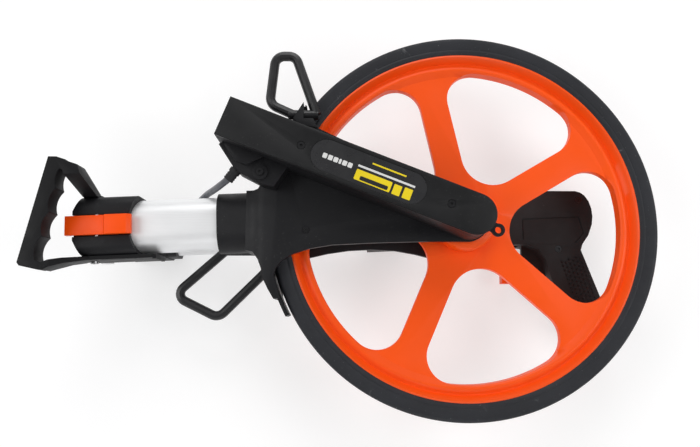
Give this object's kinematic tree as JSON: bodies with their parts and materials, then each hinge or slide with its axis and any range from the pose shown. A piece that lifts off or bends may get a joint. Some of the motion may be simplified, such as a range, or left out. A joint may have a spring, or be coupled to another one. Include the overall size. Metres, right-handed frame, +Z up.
{
  "type": "measuring wheel",
  "caption": "Folding measuring wheel: spoked wheel with a tyre in a fork, belt driven counter case, folding oval pole, pistol grip and stand legs.",
  "frame": {"origin": "on the ground that the folded wheel lies on, below the middle of its bounding box", "axes": "+X along the pole from the folding joint towards the wheel, +Z up along the wheel's axle from the rear fork plate to the counter case, +Y across"},
  "size_m": [0.5039, 0.3182, 0.1265],
  "materials": {
    "tyre": "matt black rubber with a faint grain",
    "wheel": "orange moulded plastic, semi gloss",
    "hub_bearing_front": "ground steel",
    "hub_bearing_rear": "ground steel",
    "drive_pulley": "natural white plastic",
    "axle": "bright steel",
    "axle_nut": "zinc plated",
    "crown_front": "black moulded plastic with a fine texture",
    "crown_rear": "black moulded plastic with a fine texture",
    "fender": "black moulded plastic",
    "crown_screws": "black oxide steel",
    "arm_case": "black moulded plastic with a fine texture",
    "arm_cover": "black moulded plastic with a fine texture",
    "cover_screws": "black oxide steel",
    "label_plate": "dark satin film with plain bars",
    "counter_bracket": "black moulded plastic with a fine texture",
    "bracket_screw": "black oxide steel",
    "counter_window": "clear pane",
    "counter_shaft": "bright steel",
    "counter_pulley": "natural white plastic",
    "drum_1": "red printed drum",
    "drum_2": "white printed drum",
    "drum_3": "white printed drum",
    "drum_4": "white printed drum",
    "drum_5": "white printed drum",
    "reset_bar": "natural white plastic",
    "belt": "moulded rubber",
    "brake_shoe": "hard rubber",
    "brake_cable": "silver grey cable sheath",
    "cable_boot": "soft black rubber",
    "cable_grommet": "soft black rubber",
    "lower_tube": "satin anodised",
    "joint_sleeve": "black moulded plastic with a fine texture",
    "carry_handle": "black moulded plastic with a fine texture",
    "strip_screw": "bright steel",
    "hinge_pin": "bright steel",
    "hinge_nut": "black oxide steel",
    "latch": "orange red moulded plastic",
    "latch_pin": "bright steel",
    "latch_spring": "bright steel",
    "stand_leg_front": "black coated steel rod",
    "stand_leg_rear": "black coated steel rod",
    "leg_clip": "soft black rubber",
    "hinge_yoke": "black moulded plastic with a fine texture",
    "yoke_screws": "black oxide steel",
    "upper_tube": "satin anodised",
    "lock_collar": "black moulded plastic with a fine texture",
    "lock_lever": "orange red moulded plastic",
    "lever_pin": "bright steel",
    "inner_tube": "satin anodised",
    "grip_front": "black moulded plastic with a fine texture",
    "grip_rear": "black moulded plastic with a fine texture",
    "grip_nose": "black moulded plastic with a fine texture",
    "grip_butt": "soft black rubber",
    "grip_screws": "black oxide steel",
    "trigger": "orange red moulded plastic",
    "trigger_pin": "bright steel",
    "reset_button": "orange red moulded plastic"
  },
  "bodies": {
    "frame": {"axle": "axle", "axle_nut": "axle_nut", "crown_front": "crown_front", "crown_rear": "crown_rear", "fender": "fender", "crown_screws": "crown_screws", "arm_case": "arm_case", "arm_cover": "arm_cover", "cover_screws": "cover_screws", "label_plate": "label_plate", "counter_bracket": "counter_bracket", "bracket_screw": "bracket_screw", "counter_window": "counter_window", "counter_shaft": "counter_shaft", "belt": "belt", "brake_cable": "brake_cable", "cable_boot": "cable_boot", "cable_grommet": "cable_grommet", "lower_tube": "lower_tube", "joint_sleeve": "joint_sleeve", "carry_handle": "carry_handle", "strip_screw": "strip_screw", "hinge_pin": "hinge_pin", "hinge_nut": "hinge_nut", "latch_pin": "latch_pin", "latch_spring": "latch_spring", "leg_clip": "leg_clip"},
    "road_wheel": {"wheel": "wheel", "tyre": "tyre", "hub_bearing_front": "hub_bearing_front", "hub_bearing_rear": "hub_bearing_rear", "drive_pulley": "drive_pulley"},
    "first_drum": {"counter_pulley": "counter_pulley", "drum_1": "drum_1"},
    "second_drum": {"drum_2": "drum_2"},
    "third_drum": {"drum_3": "drum_3"},
    "fourth_drum": {"drum_4": "drum_4"},
    "fifth_drum": {"drum_5": "drum_5"},
    "reset": {"reset_bar": "reset_bar"},
    "brake": {"brake_shoe": "brake_shoe"},
    "latch_lever": {"latch": "latch"},
    "front_leg": {"stand_leg_front": "stand_leg_front"},
    "rear_leg": {"stand_leg_rear": "stand_leg_rear"},
    "upper_pole": {"hinge_yoke": "hinge_yoke", "yoke_screws": "yoke_screws", "upper_tube": "upper_tube", "lock_collar": "lock_collar", "lever_pin": "lever_pin"},
    "collar_lever": {"lock_lever": "lock_lever"},
    "grip_pole": {"inner_tube": "inner_tube", "grip_front": "grip_front", "grip_rear": "grip_rear", "grip_nose": "grip_nose", "grip_butt": "grip_butt", "grip_screws": "grip_screws", "trigger_pin": "trigger_pin"},
    "trigger_lever": {"trigger": "trigger"},
    "thumb_button": {"reset_button": "reset_button"}
  },
  "joints": [
    {"name": "wheel_spin", "type": "hinge", "parent": "frame", "child": "road_wheel", "pos_m": [0.0928, 0, 0.0715], "axis": [0, 0, 1], "continuous": true},
    {"name": "first_drum_spin", "type": "hinge", "parent": "frame", "child": "first_drum", "pos_m": [-0.08398, 0.06964, 0.1115], "axis": [0, 0, 1], "continuous": true},
    {"name": "second_drum_spin", "type": "hinge", "parent": "frame", "child": "second_drum", "pos_m": [-0.08398, 0.06964, 0.1115], "axis": [0, 0, 1], "continuous": true},
    {"name": "third_drum_spin", "type": "hinge", "parent": "frame", "child": "third_drum", "pos_m": [-0.08398, 0.06964, 0.1115], "axis": [0, 0, 1], "continuous": true},
    {"name": "fourth_drum_spin", "type": "hinge", "parent": "frame", "child": "fourth_drum", "pos_m": [-0.08398, 0.06964, 0.1115], "axis": [0, 0, 1], "continuous": true},
    {"name": "fifth_drum_spin", "type": "hinge", "parent": "frame", "child": "fifth_drum", "pos_m": [-0.08398, 0.06964, 0.1115], "axis": [0, 0, 1], "continuous": true},
    {"name": "pole_fold", "type": "hinge", "parent": "frame", "child": "upper_pole", "pos_m": [-0.21014, -0.00485, 0.0445], "axis": [-0.0436, 0.999, 0], "range_deg": [0, 180]},
    {"name": "pole_slide", "type": "slide", "parent": "upper_pole", "child": "grip_pole", "axis": [0.999, 0.0436, 0], "range_m": [0, 0.15]},
    {"name": "collar_lever_turn", "type": "hinge", "parent": "upper_pole", "child": "collar_lever", "pos_m": [0.02446, 0.03242, 0.0175], "axis": [0, 0, 1], "range_deg": [0, 90]},
    {"name": "trigger_pull", "type": "hinge", "parent": "grip_pole", "child": "trigger_lever", "pos_m": [0.1428, -0.006, 0.0175], "axis": [0, 0, 1], "range_deg": [0, 14], "stiffness_Nm_per_rad": 0.4, "springref_deg": -5.73},
    {"name": "thumb_press", "type": "slide", "parent": "grip_pole", "child": "thumb_button", "axis": [-1, 0, 0], "range_m": [0, 0.003], "stiffness_N_per_m": 300, "springref_m": -0.002},
    {"name": "brake_press", "type": "slide", "parent": "frame", "child": "brake", "axis": [1, 0, 0], "range_m": [0, 0.0016]},
    {"name": "counter_reset", "type": "slide", "parent": "frame", "child": "reset", "axis": [-0.9304, 0.3665, 0], "range_m": [0, 0.003]},
    {"name": "latch_press", "type": "hinge", "parent": "frame", "child": "latch_lever", "pos_m": [-0.20315, -0.00454, 0.0899], "axis": [-0.0436, 0.999, 0], "range_deg": [0, 4], "stiffness_Nm_per_rad": 0.3, "springref_deg": -5.73},
    {"name": "front_leg_swing", "type": "hinge", "parent": "frame", "child": "front_leg", "pos_m": [-0.0392, 0.088, 0.089], "axis": [1, 0, 0], "range_deg": [0, 75]},
    {"name": "rear_leg_swing", "type": "hinge", "parent": "frame", "child": "rear_leg", "pos_m": [-0.0752, -0.02, 0.0445], "axis": [1, 0, 0], "range_deg": [0, 75]}
  ],
  "couplings": [
    {"joint": "first_drum_spin", "follows": "wheel_spin", "ratio": 1},
    {"joint": "second_drum_spin", "follows": "wheel_spin", "ratio": 0.1},
    {"joint": "third_drum_spin", "follows": "wheel_spin", "ratio": 0.01},
    {"joint": "fourth_drum_spin", "follows": "wheel_spin", "ratio": 0.001},
    {"joint": "fifth_drum_spin", "follows": "wheel_spin", "ratio": 0.0001},
    {"joint": "brake_press", "follows": "trigger_pull", "m_per_rad": 0.006},
    {"joint": "counter_reset", "follows": "thumb_press", "ratio": 1}
  ]
}
